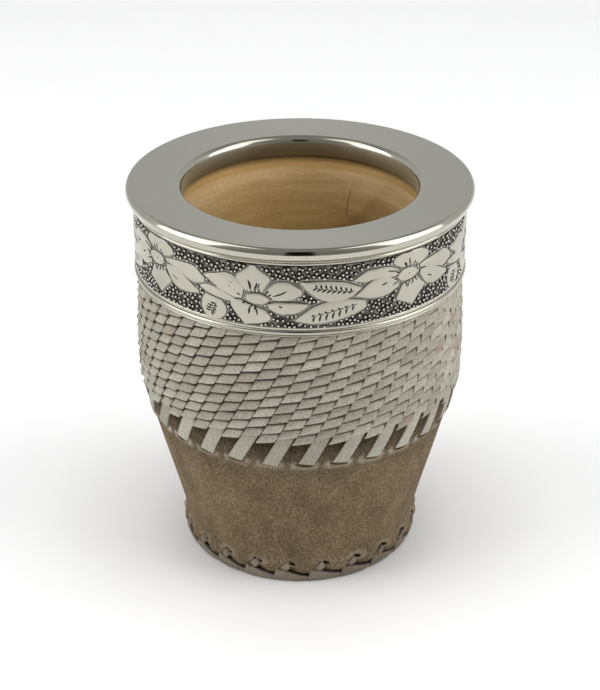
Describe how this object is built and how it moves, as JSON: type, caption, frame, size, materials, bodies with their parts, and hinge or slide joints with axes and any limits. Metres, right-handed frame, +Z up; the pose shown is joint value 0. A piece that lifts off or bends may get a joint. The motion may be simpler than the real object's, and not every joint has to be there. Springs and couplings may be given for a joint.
{
  "type": "mate cup",
  "caption": "Round hand-held mate cup: hollow wood in laced leather, a woven rawhide sleeve, a chased flower band and a wide flat polished metal rim.",
  "frame": {"origin": "centre of the flat sole, on the table", "axes": "+Z up out of the mouth, -Y towards the side that the picture shows"},
  "size_m": [0.084, 0.084, 0.097],
  "materials": {
    "wood": "bare turned wood",
    "leather": "matte brown leather",
    "lacing": "matte grey-brown thong",
    "rawhide": "matte pale rawhide strips",
    "band_metal": "satin nickel silver, darkened in the hollows",
    "rim_metal": "polished nickel silver"
  },
  "bodies": {
    "root": {"wood_cup": "wood", "leather_cover": "leather", "leather_sole": "leather", "base_lacing": "lacing", "rawhide_braid": "rawhide", "chased_band": "band_metal", "band_bead": "rim_metal", "rim_plate": "rim_metal"}
  },
  "joints": []
}
